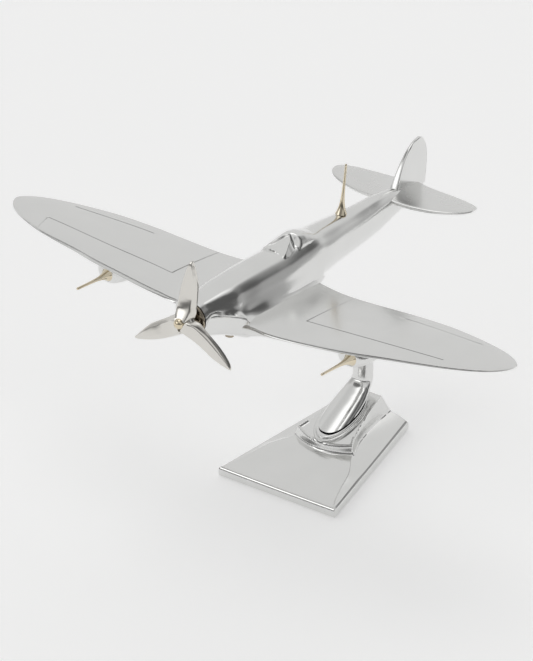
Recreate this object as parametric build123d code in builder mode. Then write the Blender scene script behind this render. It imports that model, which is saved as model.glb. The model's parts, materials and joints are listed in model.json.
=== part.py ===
from build123d import *
import os
from math import cos, exp, radians, sin, sqrt, tan

# Desk model of a single-seat low-wing fighter on a curved arm and a tapered base.
# Millimetres, +Z up, nose towards -Y, span along X, origin at the centre of the base's underside.
os.makedirs("parts", exist_ok=True)

# ---------------------------------------------------------------- driving dimensions: stand
base_length = 150.0
base_front_width = 116.6
base_rear_width = 70.4
rim_height = 9.2
rim_round = 2.4
deck_rear_lean = 30.0           # the rear face leans forward, degrees
deck_rear_y = 74.8
felt_thickness = 2.0
felt_reveal = 0.8               # the felt stands this far below the metal
felt_inset = 4.0
hump_slope = 13.5               # the hump's top rises to the rear, degrees
hump_front_y = -13.0
hump_front_z = 18.5
hump_front_half = 27.5
hump_front_corner_y = -5.0
hump_rear_half = 18.0
hump_rear_y = 78.0
hump_round = 3.0
corner_round = 1.5
foot_centre_y = 25.0
foot_half_width = 18.0
foot_half_length = 35.0
foot_step = 2.0                 # height of each of the foot's two steps
foot_step_width = 1.8
foot_crown = (14.4, 29.2)       # half axes of the low crown the arm grows from
foot_crown_height = 2.2
crown_root = 0.2                # the crown starts this far inside the upper step
base_bolt_ys = (10.0, 38.0)
base_bolt_tips = (27.0, 38.0)   # heights the bolts reach inside the arm
base_bolt_diameter = 6.0
base_bolt_head = 10.0
base_bolt_head_height = 6.0
base_bolt_socket_depth = 4.0
base_bolt_socket_radius = 2.9

# ---------------------------------------------------------------- driving dimensions: aircraft
# The aircraft is drawn level in its own frame, then tilted nose-up onto the arm.
aircraft_origin = (0.0, -133.3, 200.2)
climb_angle = 8.95
half_span = 240.0
tip_y = 26.0
leading_depth = 61.5            # leading edge ahead of the tip, at the centre line
trailing_depth = 47.0           # trailing edge behind the tip, at the centre line
wing_root_z = 14.0
dihedral = 3.3                  # of the chord line, degrees
wing_thickness_ratio = 0.088
edge_thickness = 1.2
seam_z = 16.0                   # the two main castings meet here
seam_rear_y = 100.0
chin_top_z = 18.3
chin_bottom_z = -1.0
shaft_z = 21.3
prop_y = -73.7
prop_radius = 52.8
hub_radius = 9.0
hub_thickness = 9.0
shaft_radius = 2.0
bush_radius = 3.2
running_fit = 0.05
end_gap = 0.3
disc_radius = 14.0
disc_thickness = 2.4
nose_y = -64.5
nut_radius = 4.8
tail_half_span = 69.0
tail_tip_y = 248.0
tail_z = 42.4
tail_thickness = 5.0
pod_x = 116.0
pod_z = 10.0
pod_half_width = 16.5
pod_depth = 9.5
cannon_x = 116.5
cannon_z = 8.0
cannon_base_y = -13.0
cannon_length = 42.5
cannon_base_radius = 6.0
mast_y = 147.0
mast_height = 44.0
mast_base_radius = 5.2
spike_tip_radius = 1.15
spigot_radius = 1.5
spigot_length = 7.0
spine_z = 49.4                  # the mast's foot stands at this height
tail_screw_y = 246.0
tail_screw_radius = 1.5
fin_dowel_y = 234.0
fin_dowel_radius = 1.2
fin_dowel_z = 40.5
pod_screw_radius = 1.5

aircraft = Plane(
    origin=aircraft_origin,
    x_dir=(1, 0, 0),
    z_dir=(0, sin(radians(climb_angle)), cos(radians(climb_angle))),
)
pose = aircraft.location


def cross_plane(y, z=0.0):
    """A plane across the model at y, with its own x along X and its own y along Z."""
    return Plane(origin=(0, y, z), x_dir=(1, 0, 0), z_dir=(0, -1, 0))


def leaning_plane(y, z, lean):
    """A plane on the centre line whose normal leans forward from +Z by lean degrees."""
    return Plane(origin=(0, y, z), x_dir=(1, 0, 0), z_dir=(0, -sin(radians(lean)), cos(radians(lean))))


def trapezoid(front_half, rear_half, half_length):
    """Outline of the base, wide at the front, as a face in the current sketch."""
    corners = [
        (-front_half, -half_length),
        (front_half, -half_length),
        (rear_half, half_length),
        (-rear_half, half_length),
    ]
    return Polygon(*corners, align=None)


def oval(half_width, half_height):
    """A smooth closed oval, centred on its own origin."""
    turns = [radians(30 * k) for k in range(12)]
    with BuildSketch() as section:
        with BuildLine():
            Spline(*[(half_width * cos(turn), half_height * sin(turn)) for turn in turns], periodic=True)
        make_face()
    return section.sketch


# ================================================================ stand
hump_top_plane = leaning_plane(hump_front_y, hump_front_z, hump_slope)


def hump_top(y):
    """Height of the hump's sloping top at y."""
    return hump_front_z + (y - hump_front_y) * tan(radians(hump_slope))


# Deck sections: y, half width at the rim, half width at the ridge, height of the ridge.
deck_sections = [
    (-74.2, 57.4, 55.5, 9.8),
    (-55.0, 54.4, 48.5, 11.0),
    (-28.0, 50.2, 41.0, 12.8),
    (-5.0, 46.6, 30.0, 14.0),
    (74.6, 34.6, 18.5, 20.0),
]

with BuildPart() as base_casting:
    with BuildSketch(Plane.XY.offset(felt_reveal)):
        trapezoid(base_front_width / 2, base_rear_width / 2, base_length / 2)
    extrude(amount=rim_height - felt_reveal)
    fillet(base_casting.faces().sort_by(Axis.Z)[-1].edges(), radius=rim_round)
    upright_edges = base_casting.edges().filter_by(lambda edge: abs(edge.tangent_at(0.5).Z) > 0.9)
    fillet(upright_edges, radius=corner_round)
    for deck_y, rim_half, ridge_half, ridge_z in deck_sections:
        with BuildSketch(cross_plane(deck_y)):
            with BuildLine():
                Polyline(
                    (-rim_half, rim_height - 3.0),
                    (rim_half, rim_height - 3.0),
                    (rim_half - 1.4, rim_height - 0.2),
                    (ridge_half, ridge_z),
                    (-ridge_half, ridge_z),
                    (-rim_half + 1.4, rim_height - 0.2),
                    close=True,
                )
            make_face()
    loft(ruled=True)

with BuildPart() as hump:
    with BuildSketch(Plane.XY.offset(rim_height - 3.0)):
        with BuildLine():
            ThreePointArc(
                (-hump_front_half, hump_front_corner_y),
                (0, hump_front_y),
                (hump_front_half, hump_front_corner_y),
            )
            Polyline(
                (hump_front_half, hump_front_corner_y),
                (hump_rear_half, hump_rear_y),
                (-hump_rear_half, hump_rear_y),
                (-hump_front_half, hump_front_corner_y),
            )
        make_face()
    extrude(amount=45)
    split(bisect_by=hump_top_plane, keep=Keep.BOTTOM)
    top_edges = hump.faces().sort_by(Axis.Z)[-1].edges().filter_by(GeomType.LINE)
    fillet(top_edges.sort_by(Axis.Y)[0:2], radius=hump_round)

with base_casting:
    add(hump.part)
    rear_lean = Plane(
        origin=(0, deck_rear_y, rim_height),
        x_dir=(1, 0, 0),
        z_dir=(0, cos(radians(deck_rear_lean)), sin(radians(deck_rear_lean))),
    )
    split(bisect_by=rear_lean, keep=Keep.BOTTOM)
    with BuildSketch(Plane.XY.offset(felt_reveal)):
        trapezoid(
            base_front_width / 2 - felt_inset,
            base_rear_width / 2 - felt_inset,
            base_length / 2 - felt_inset,
        )
    extrude(amount=felt_thickness - felt_reveal, mode=Mode.SUBTRACT)
    with BuildSketch(Plane.XY.offset(felt_thickness)):
        with Locations(*[(0, y) for y in base_bolt_ys]):
            Circle(base_bolt_head / 2)
    extrude(amount=base_bolt_head_height, mode=Mode.SUBTRACT)
    with BuildSketch(Plane.XY.offset(felt_thickness)):
        with Locations(*[(0, y) for y in base_bolt_ys]):
            Circle(base_bolt_diameter / 2)
    extrude(amount=60, mode=Mode.SUBTRACT)
base_casting.part.label = "base_casting"
export_step(base_casting.part, "parts/base_casting.step")

with BuildPart() as base_felt:
    with BuildSketch():
        trapezoid(
            base_front_width / 2 - felt_inset,
            base_rear_width / 2 - felt_inset,
            base_length / 2 - felt_inset,
        )
    extrude(amount=felt_thickness)
base_felt.part.label = "base_felt"
export_step(base_felt.part, "parts/base_felt.step")

# Arm sections: y, z, forward lean of the section's normal, half width, half depth.
arm_sections = [
    (25.5, 33.5, 13.5, 14.5, 29.0),
    (34.7, 37.8, 12.8, 13.4, 23.3),
    (42.5, 41.9, 11.8, 11.9, 17.9),
    (49.0, 45.4, 11.3, 10.5, 13.3),
    (54.0, 48.6, 11.0, 9.6, 9.7),
    (56.6, 53.0, 7.0, 9.2, 7.9),
    (57.0, 61.0, 3.0, 9.0, 7.6),
    (56.0, 72.0, 6.0, 8.9, 7.3),
    (53.0, 84.0, 13.0, 8.8, 7.1),
    (49.0, 96.0, 21.0, 8.6, 7.0),
    (43.0, 108.0, 30.0, 8.5, 6.9),
    (34.5, 119.5, 40.0, 8.4, 6.8),
    (23.5, 130.5, 49.0, 8.3, 6.7),
    (9.5, 140.5, 56.0, 8.2, 6.6),
    (-7.0, 149.5, 60.0, 8.2, 6.5),
    (-25.0, 158.0, 63.0, 8.2, 6.4),
    (-44.0, 166.0, 66.0, 8.4, 6.3),
    (-62.0, 173.0, 68.0, 8.7, 6.1),
    (-78.0, 178.8, 70.0, 9.0, 6.0),
]
saddle_y = 44.0                 # the rest of the saddle is in the aircraft's frame
saddle_z = -11.5
saddle_thickness = 4.5
saddle_half_width = 12.0
saddle_half_length = 24.0
saddle_screw_spacing = 34.0
screw_radius = 2.0
screw_head_radius = 3.6
screw_head_height = 2.4

foot_plane = leaning_plane(foot_centre_y, hump_top(foot_centre_y), hump_slope)

with BuildPart() as support_arm:
    for step in range(2):
        with BuildSketch(foot_plane.offset(step * foot_step)):
            Ellipse(foot_half_width - foot_step_width * step, foot_half_length - foot_step_width * step)
        extrude(amount=foot_step)
    for arm_y, arm_z, lean, half_width, half_depth in arm_sections:
        with BuildSketch(leaning_plane(arm_y, arm_z, lean)):
            add(oval(half_width, half_depth))
    loft(ruled=True)
    with BuildSketch(foot_plane.offset(2 * foot_step - crown_root)):
        Ellipse(*foot_crown)
    extrude(amount=foot_crown_height)
    saddle_plane = Plane(
        origin=aircraft.from_local_coords((0, saddle_y, saddle_z)),
        x_dir=(1, 0, 0),
        z_dir=aircraft.z_dir,
    )
    with BuildSketch(saddle_plane):
        SlotOverall(2 * saddle_half_length, 2 * saddle_half_width, rotation=90)
    extrude(amount=saddle_thickness)
    with BuildSketch(saddle_plane.offset(-25)):
        with GridLocations(1, saddle_screw_spacing, 1, 2):
            Circle(screw_head_radius)
    extrude(amount=25 + screw_head_height - 1.0, mode=Mode.SUBTRACT)
    with BuildSketch(saddle_plane.offset(-25)):
        with GridLocations(1, saddle_screw_spacing, 1, 2):
            Circle(screw_radius)
    extrude(amount=40, mode=Mode.SUBTRACT)
    for bolt_y, tip_z in zip(base_bolt_ys, base_bolt_tips):
        with BuildSketch():
            with Locations((0, bolt_y)):
                Circle(base_bolt_diameter / 2)
        extrude(amount=tip_z, mode=Mode.SUBTRACT)
support_arm.part.label = "support_arm"
export_step(support_arm.part, "parts/support_arm.step")

with BuildPart() as arm_base_bolts:
    with BuildSketch(Plane.XY.offset(felt_thickness)):
        with Locations(*[(0, y) for y in base_bolt_ys]):
            Circle(base_bolt_head / 2)
            RegularPolygon(base_bolt_socket_radius, 6, mode=Mode.SUBTRACT)
    extrude(amount=base_bolt_socket_depth)
    with BuildSketch(Plane.XY.offset(felt_thickness + base_bolt_socket_depth)):
        with Locations(*[(0, y) for y in base_bolt_ys]):
            Circle(base_bolt_head / 2)
    extrude(amount=base_bolt_head_height - base_bolt_socket_depth)
    for bolt_y, tip_z in zip(base_bolt_ys, base_bolt_tips):
        with BuildSketch(Plane.XY.offset(felt_thickness + base_bolt_head_height)):
            with Locations((0, bolt_y)):
                Circle(base_bolt_diameter / 2)
        extrude(amount=tip_z - felt_thickness - base_bolt_head_height)
arm_base_bolts.part.label = "arm_base_bolts"
export_step(arm_base_bolts.part, "parts/arm_base_bolts.step")


# ================================================================ wing and fuselage surfaces
def leading_edge(x):
    """Elliptical leading edge of the wing."""
    return tip_y - leading_depth * sqrt(max(0.0, 1 - (x / half_span) ** 2))


def trailing_edge(x):
    """Fuller trailing edge of the wing."""
    return tip_y + trailing_depth * max(0.0, 1 - (abs(x) / half_span) ** 2.6) ** (1 / 2.4)


def wing_height(x):
    """Height of the chord line at x."""
    return wing_root_z + abs(x) * tan(radians(dihedral))


# Wing section outline: share of the chord from the front, share of the thickness.
section_outline = [
    (0.0, 0.0),
    (0.035, 0.26),
    (0.13, 0.45),
    (0.32, 0.58),
    (0.58, 0.47),
    (0.82, 0.26),
    (0.985, 0.10),
    (1.0, 0.0),
    (0.985, -0.10),
    (0.82, -0.17),
    (0.58, -0.32),
    (0.32, -0.42),
    (0.13, -0.35),
    (0.035, -0.20),
]


def aerofoil(front, rear, height, thickness):
    """A wing section with a round tail, whose own axes are Y and Z."""
    chord = rear - front
    with BuildSketch() as section:
        with BuildLine():
            Spline(
                *[(front + along * chord, height + up * thickness) for along, up in section_outline],
                periodic=True,
            )
        make_face()
    return section.sketch


# Hull sections: y, half width, bottom, top.
hull_sections = [
    (nose_y, 13.6, 6.8, 35.4),
    (-60.0, 14.4, 5.0, 37.0),
    (-44.0, 17.6, -0.5, 40.6),
    (-22.0, 20.6, -6.0, 43.6),
    (5.0, 22.4, -9.4, 45.6),
    (40.0, 22.8, -8.2, 47.4),
    (75.0, 21.6, -3.0, 49.6),
    (110.0, 19.0, 3.6, 50.2),
    (150.0, 15.6, 9.4, 49.8),
    (190.0, 12.0, 15.8, 48.6),
    (225.0, 8.6, 24.0, 46.6),
    (258.0, 4.6, 33.5, 43.5),
    (275.0, 1.8, 37.0, 41.0),
]

with BuildPart() as hull:
    for hull_y, hull_half, bottom, top in hull_sections:
        with BuildSketch(cross_plane(hull_y, (bottom + top) / 2)):
            add(oval(hull_half, (top - bottom) / 2))
    loft()

wing_stations = [0.0, 40.0, 80.0, 120.0, 160.0, 195.0, 220.0, 234.0, 239.6]

with BuildPart() as wing_panels:
    for station in wing_stations:
        chord = trailing_edge(station) - leading_edge(station)
        with BuildSketch(Plane(origin=(station, 0, 0), x_dir=(0, 1, 0), z_dir=(1, 0, 0))):
            add(aerofoil(
                leading_edge(station),
                trailing_edge(station),
                wing_height(station),
                wing_thickness_ratio * chord + 1.2,
            ))
    loft()
    mirror(about=Plane.YZ)

# ---------------------------------------------------------------- tailplane and fin
tail_stations = [0.0, 15.0, 28.0, 40.0, 50.0, 58.0, 63.5, 66.5, 68.0]

with BuildPart() as tailplane:
    for station in tail_stations:
        spread = sqrt(1 - (station / tail_half_span) ** 2)
        with BuildSketch(Plane(origin=(station, 0, 0), x_dir=(0, 1, 0), z_dir=(1, 0, 0))):
            add(aerofoil(
                tail_tip_y - 35.0 * spread,
                tail_tip_y + 17.5 * spread,
                tail_z + 0.026 * station,
                tail_thickness * (0.35 + 0.65 * spread),
            ))
    loft()
    mirror(about=Plane.YZ)
    with Locations((0, tail_screw_y, tail_z)):
        Cylinder(radius=tail_screw_radius, height=12, mode=Mode.SUBTRACT)
    with Locations((0, fin_dowel_y, tail_z)):
        Cylinder(radius=fin_dowel_radius, height=12, mode=Mode.SUBTRACT)

# Fin sections: z, front, rear, width of the flat front edge.
fin_sections = [
    (41.0, 227.5, 281.5, 6.6),
    (52.0, 230.5, 281.0, 5.6),
    (66.0, 237.0, 277.6, 3.8),
    (78.0, 244.4, 272.2, 2.2),
    (84.2, 254.0, 267.2, 1.4),
]

with BuildPart() as fin:
    for fin_z, front, rear, front_width in fin_sections:
        with BuildSketch(Plane.XY.offset(fin_z)):
            with BuildLine():
                Polyline(
                    (-front_width / 2, front),
                    (front_width / 2, front),
                    (0.45 * front_width + 0.2, (front + rear) / 2),
                    (0.5, rear),
                    (-0.5, rear),
                    (-0.45 * front_width - 0.2, (front + rear) / 2),
                    close=True,
                )
            make_face()
    loft(ruled=True)
    with BuildSketch(Plane.XY.offset(fin_sections[-1][0])):
        with BuildLine():
            Polyline((-0.7, 254.0), (0.7, 254.0), (0.5, 267.2), (-0.5, 267.2), close=True)
        make_face()
    extrude(amount=2.0, taper=12)
    add(tailplane.part, mode=Mode.SUBTRACT)
    with BuildSketch(Plane.XY.offset(38)):
        with Locations((0, tail_screw_y)):
            Circle(tail_screw_radius)
    extrude(amount=18, mode=Mode.SUBTRACT)
    with BuildSketch(Plane.XY.offset(40)):
        with Locations((0, fin_dowel_y)):
            Circle(fin_dowel_radius)
    extrude(amount=12, mode=Mode.SUBTRACT)

# ---------------------------------------------------------------- wing casting
chin_outline = [(14.6, -62.0), (15.2, -46.0), (20.0, -37.5), (28.0, -33.0), (36.0, -32.0)]
wing_screw_ys = (-7.0, 78.0)
wing_screw_floor = (-9.0, -3.0)
pod_screw_y = 10.0

with BuildPart() as wing_casting:
    add(hull.part)
    with Locations((0, (seam_rear_y - 62.0) / 2, seam_z - 50)):
        Box(200, seam_rear_y + 62.0, 100, mode=Mode.INTERSECT)
    with BuildSketch(Plane.XY.offset(chin_bottom_z)):
        with BuildLine():
            port_side = Spline(*chin_outline)
            starboard_side = Spline(*[(-x, y) for x, y in reversed(chin_outline)])
            Line(chin_outline[-1], (36.0, -10.0))
            Line((36.0, -10.0), (-36.0, -10.0))
            Line((-36.0, -10.0), (-36.0, -32.0))
            Line((-14.6, -62.0), (14.6, -62.0))
        make_face()
    extrude(amount=chin_top_z - chin_bottom_z)
    add(wing_panels.part)
    with BuildSketch(Plane((0, saddle_y, saddle_z + saddle_thickness))):
        SlotOverall(2 * saddle_half_length, 2 * saddle_half_width, rotation=90)
    extrude(amount=-20, mode=Mode.SUBTRACT)
    with BuildSketch(Plane((0, saddle_y, saddle_z))):
        with GridLocations(1, saddle_screw_spacing, 1, 2):
            Circle(screw_radius)
    extrude(amount=18, mode=Mode.SUBTRACT)
    with BuildSketch(Plane.XY.offset(-30)):
        with Locations(*[(0, y) for y in wing_screw_ys]):
            Circle(screw_radius)
    extrude(amount=80, mode=Mode.SUBTRACT)
    with BuildSketch(Plane.XY.offset(-30)):
        with Locations((pod_x, pod_screw_y), (-pod_x, pod_screw_y)):
            Circle(pod_screw_radius)
    extrude(amount=49, mode=Mode.SUBTRACT)
    for screw_y, floor_z in zip(wing_screw_ys, wing_screw_floor):
        with Locations((0, screw_y, floor_z - 10)):
            Cylinder(radius=screw_head_radius, height=20, mode=Mode.SUBTRACT)
    with Locations(Location((0, prop_y, shaft_z), (90, 0, 0))):
        Cylinder(radius=shaft_radius, height=80, mode=Mode.SUBTRACT)

# ---------------------------------------------------------------- fuselage casting
# Canopy sections: y, half width, top.
canopy_bottom = 32.0
canopy_sections = [
    (46.0, 9.5, 43.8),
    (60.0, 10.5, 52.0),
    (76.0, 10.5, 57.0),
    (92.0, 9.5, 54.4),
    (112.0, 6.0, 50.6),
]
windscreen_foot = (0, 47.5, 43.0)
windscreen_slope = 25.0         # degrees above the cowl line
windscreen_half_width = 12.0
windscreen_length = 27.0
# Skirt sections: y, half width.
skirt_sections = [(-31.0, 29.0), (-12.0, 33.0), (30.0, 32.0), (62.0, 28.5), (98.0, 22.0)]

with BuildPart() as fuselage_casting:
    add(hull.part)
    with Locations((0, (seam_rear_y - 62.0) / 2, seam_z - 50)):
        Box(200, seam_rear_y + 62.0, 100, mode=Mode.SUBTRACT)
    for canopy_y, canopy_half, canopy_top in canopy_sections:
        with BuildSketch(cross_plane(canopy_y, (canopy_top + canopy_bottom) / 2)):
            Ellipse(canopy_half, (canopy_top - canopy_bottom) / 2)
    loft()
    with BuildSketch(leaning_plane(*windscreen_foot[1:], windscreen_slope)):
        with BuildLine():
            Polyline(
                (-windscreen_half_width, 0),
                (windscreen_half_width, 0),
                (0, windscreen_length),
                close=True,
            )
        make_face()
    extrude(amount=14, mode=Mode.SUBTRACT)
    # A skirt spreads from the sides down to the wing.
    for side in (1, -1):
        for skirt_y, skirt_half in skirt_sections:
            with BuildSketch(cross_plane(skirt_y)):
                with BuildLine():
                    Polyline(
                        (side * 14, seam_z - 4),
                        (side * skirt_half, seam_z - 4),
                        (side * skirt_half, seam_z + 4.6),
                        (side * (skirt_half - 7), seam_z + 8),
                        (side * 14, seam_z + 20),
                        close=True,
                    )
                make_face()
        loft(ruled=True)
    add(wing_casting.part, mode=Mode.SUBTRACT)
    add(tailplane.part, mode=Mode.SUBTRACT)
    add(fin.part, mode=Mode.SUBTRACT)
    with Locations(Location((0, prop_y, shaft_z), (90, 0, 0))):
        Cylinder(radius=shaft_radius, height=80, mode=Mode.SUBTRACT)
    with BuildSketch(Plane.XY.offset(seam_z - 30)):
        with Locations(*[(0, y) for y in wing_screw_ys]):
            Circle(screw_radius)
    extrude(amount=42, mode=Mode.SUBTRACT)
    with BuildSketch(Plane.XY.offset(20)):
        with Locations((0, tail_screw_y)):
            Circle(tail_screw_radius)
    extrude(amount=30, mode=Mode.SUBTRACT)
    with BuildSketch(Plane.XY.offset(40)):
        with Locations((0, fin_dowel_y)):
            Circle(fin_dowel_radius)
    extrude(amount=12, mode=Mode.SUBTRACT)
    with BuildSketch(Plane.XY.offset(spine_z)):
        with Locations((0, mast_y)):
            Circle(spigot_radius)
    extrude(amount=-spigot_length, mode=Mode.SUBTRACT)
    with BuildSketch(Plane.XY.offset(spine_z)):
        with Locations((0, mast_y)):
            Circle(mast_base_radius + 0.2)
    extrude(amount=10, mode=Mode.SUBTRACT)

wing_casting.part.label = "wing_casting"
wing_casting.part.location = pose
export_step(wing_casting.part, "parts/wing_casting.step")
fuselage_casting.part.label = "fuselage_casting"
fuselage_casting.part.location = pose
export_step(fuselage_casting.part, "parts/fuselage_casting.step")
tailplane.part.label = "tailplane"
tailplane.part.location = pose
export_step(tailplane.part, "parts/tailplane.step")
fin.part.label = "fin"
fin.part.location = pose
export_step(fin.part, "parts/fin.step")

# ---------------------------------------------------------------- screws
wing_screw_length = 26.0
tail_screw_z = (26.5, 54.0)

with BuildPart() as wing_screws:
    for screw_y, floor_z in zip(wing_screw_ys, wing_screw_floor):
        with BuildSketch(Plane.XY.offset(floor_z)):
            with Locations((0, screw_y)):
                Circle(screw_radius)
        extrude(amount=wing_screw_length)
        with BuildSketch(Plane.XY.offset(floor_z - screw_head_height)):
            with Locations((0, screw_y)):
                Circle(screw_head_radius)
                SlotOverall(5.4, 0.8, mode=Mode.SUBTRACT)
        extrude(amount=1.0)
        with BuildSketch(Plane.XY.offset(floor_z - screw_head_height + 1.0)):
            with Locations((0, screw_y)):
                Circle(screw_head_radius)
        extrude(amount=screw_head_height - 1.0)
wing_screws.part.label = "wing_screws"
wing_screws.part.location = pose
export_step(wing_screws.part, "parts/wing_screws.step")

with BuildPart() as arm_top_screws:
    with BuildSketch(Plane((0, saddle_y, saddle_z - 1.0))):
        with GridLocations(1, saddle_screw_spacing, 1, 2):
            Circle(screw_head_radius - 0.1)
    extrude(amount=screw_head_height)
    with BuildSketch(Plane((0, saddle_y, saddle_z - 1.0 + screw_head_height))):
        with GridLocations(1, saddle_screw_spacing, 1, 2):
            Circle(screw_radius)
    extrude(amount=14)
arm_top_screws.part.label = "arm_top_screws"
arm_top_screws.part.location = pose
export_step(arm_top_screws.part, "parts/arm_top_screws.step")

with BuildPart() as tail_screw:
    with BuildSketch(Plane.XY.offset(tail_screw_z[0])):
        with Locations((0, tail_screw_y)):
            Circle(tail_screw_radius)
    extrude(amount=tail_screw_z[1] - tail_screw_z[0])
tail_screw.part.label = "tail_screw"
tail_screw.part.location = pose
export_step(tail_screw.part, "parts/tail_screw.step")

with BuildPart() as fin_dowel:
    with BuildSketch(Plane.XY.offset(fin_dowel_z)):
        with Locations((0, fin_dowel_y)):
            Circle(fin_dowel_radius)
    extrude(amount=9)
fin_dowel.part.label = "fin_dowel"
fin_dowel.part.location = pose
export_step(fin_dowel.part, "parts/fin_dowel.step")

# ---------------------------------------------------------------- pods and cannons
# Pod sections: y, share of the full half width, share of the full depth.
pod_sections = [
    (-14.0, 0.62, 0.55),
    (-9.0, 0.90, 0.85),
    (0.0, 1.00, 1.00),
    (16.0, 0.88, 0.82),
    (32.0, 0.55, 0.45),
    (40.0, 0.22, 0.12),
]


def spike(base_radius, length):
    """Half profile of a trumpet-shaped spike: radius along X, height along Y, spigot below."""
    heights = [0.0, 0.03, 0.08, 0.16, 0.28, 0.45, 0.70, 0.97]
    flare = [
        (spike_tip_radius + (base_radius - spike_tip_radius) * exp(-7.0 * share) * (1 - 0.25 * share),
         share * length)
        for share in heights
    ]
    with BuildSketch() as profile:
        with BuildLine():
            Polyline(
                (0, length),
                (0, -spigot_length),
                (spigot_radius, -spigot_length),
                (spigot_radius, 0),
                (base_radius, 0),
            )
            Spline(*flare)
            Spline(flare[-1], (0.75 * spike_tip_radius, 0.995 * length), (0, length))
        make_face()
    return profile.sketch


for side, hand in ((1, "port"), (-1, "starboard")):
    with BuildPart() as pod:
        for pod_y, wide, deep in pod_sections:
            with BuildSketch(cross_plane(pod_y, pod_z)):
                with Locations((side * pod_x, 0)):
                    add(oval(pod_half_width * wide, pod_depth * deep))
        loft()
        add(wing_casting.part.located(Location()), mode=Mode.SUBTRACT)
        with BuildSketch(Plane.XY.offset(-10)):
            with Locations((side * pod_x, pod_screw_y)):
                Circle(pod_screw_radius)
        extrude(amount=40, mode=Mode.SUBTRACT)
        with BuildSketch(Plane.XY.offset(-10)):
            with Locations((side * pod_x, pod_screw_y)):
                Circle(2.8)
        extrude(amount=13.0, mode=Mode.SUBTRACT)
        cannon_seat = cross_plane(cannon_base_y - 10, cannon_z)
        with BuildSketch(cannon_seat):
            with Locations((side * cannon_x, 0)):
                Circle(cannon_base_radius + 0.5)
        extrude(amount=-10, mode=Mode.SUBTRACT)
        with BuildSketch(cross_plane(cannon_base_y, cannon_z)):
            with Locations((side * cannon_x, 0)):
                Circle(spigot_radius)
        extrude(amount=-spigot_length, mode=Mode.SUBTRACT)
    pod.part.label = f"pod_{hand}"
    pod.part.location = pose
    export_step(pod.part, f"parts/pod_{hand}.step")

    with BuildPart() as cannon:
        muzzle_axis = Axis((side * cannon_x, cannon_base_y, cannon_z), (0, 1, 0))
        with BuildSketch(Plane(origin=muzzle_axis.position, x_dir=(1, 0, 0), z_dir=(0, 0, -1))):
            add(spike(cannon_base_radius, cannon_length))
        revolve(axis=muzzle_axis)
    cannon.part.label = f"cannon_{hand}"
    cannon.part.location = pose
    export_step(cannon.part, f"parts/cannon_{hand}.step")

with BuildPart() as pod_screws:
    with BuildSketch(Plane.XY.offset(1.2)):
        with Locations((pod_x, pod_screw_y), (-pod_x, pod_screw_y)):
            Circle(2.7)
    extrude(amount=1.8)
    with BuildSketch(Plane.XY.offset(3.0)):
        with Locations((pod_x, pod_screw_y), (-pod_x, pod_screw_y)):
            Circle(pod_screw_radius)
    extrude(amount=16.0)
pod_screws.part.label = "pod_screws"
pod_screws.part.location = pose
export_step(pod_screws.part, "parts/pod_screws.step")

with BuildPart() as mast:
    with BuildSketch(cross_plane(mast_y, spine_z)):
        add(spike(mast_base_radius, mast_height))
    revolve(axis=Axis((0, mast_y, spine_z), (0, 0, 1)))
mast.part.label = "mast"
mast.part.location = pose
export_step(mast.part, "parts/mast.step")

# ---------------------------------------------------------------- propeller group, front to rear along -Y
hub_front = prop_y - hub_thickness / 2
hub_rear = prop_y + hub_thickness / 2
shaft_front = hub_front - 8.0
shaft_rear = -44.0
washer_radius = 5.0
washer_thickness = 0.8
nut_flange = 1.6
blade_sections = [
    # radius, half chord, half thickness, blade angle in degrees
    (6.0, 7.4, 3.6, 10.0),
    (16.0, 8.0, 2.9, 11.0),
    (28.0, 7.4, 2.7, 11.0),
    (40.0, 5.4, 2.4, 9.0),
    (49.0, 2.4, 1.8, 6.0),
    (prop_radius, 0.8, 0.9, 5.0),
]


def ring(y_front, thickness, outer_radius, inner_radius):
    """A plain ring round the shaft axis as a part, its front face at y_front."""
    with BuildPart() as blank:
        with BuildSketch(cross_plane(y_front + thickness, shaft_z)):
            Circle(outer_radius)
            Circle(inner_radius, mode=Mode.SUBTRACT)
        extrude(amount=thickness)
    return blank.part


with BuildPart() as propeller:
    with BuildSketch(cross_plane(hub_rear, shaft_z)):
        Circle(hub_radius)
    extrude(amount=hub_thickness)
    for blade in range(3):
        for radius, half_chord, half_thickness, angle in blade_sections:
            around = radians(120 * blade)
            out = Vector(sin(around), 0, cos(around))
            across = Vector(cos(around), 0, -sin(around))
            chord_dir = across * cos(radians(angle)) + Vector(0, 1, 0) * sin(radians(angle))
            centre = Vector(0, prop_y, shaft_z) + out * radius
            with BuildSketch(Plane(origin=centre, x_dir=chord_dir, z_dir=out)):
                add(oval(half_chord, half_thickness))
        loft()
    with BuildSketch(cross_plane(hub_rear + 10, shaft_z)):
        Circle(bush_radius)
    extrude(amount=hub_thickness + 20, mode=Mode.SUBTRACT)
    with BuildSketch(cross_plane(hub_rear + 10, shaft_z)):
        Circle(hub_radius + 6)
    extrude(amount=10, mode=Mode.SUBTRACT)
    with BuildSketch(cross_plane(hub_front, shaft_z)):
        Circle(nut_radius + 1.2)
    extrude(amount=10, mode=Mode.SUBTRACT)
propeller.part.label = "propeller"
propeller.part.location = pose
export_step(propeller.part, "parts/propeller.step")

prop_bush = ring(hub_front, hub_thickness, bush_radius, shaft_radius + running_fit)
prop_bush.label = "prop_bush"
prop_bush.location = pose
export_step(prop_bush, "parts/prop_bush.step")

front_washer = ring(hub_front - end_gap - washer_thickness, washer_thickness, washer_radius, shaft_radius)
front_washer.label = "front_washer"
front_washer.location = pose
export_step(front_washer, "parts/front_washer.step")

rear_washer = ring(hub_rear + end_gap, washer_thickness, washer_radius, shaft_radius)
rear_washer.label = "rear_washer"
rear_washer.location = pose
export_step(rear_washer, "parts/rear_washer.step")

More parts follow.
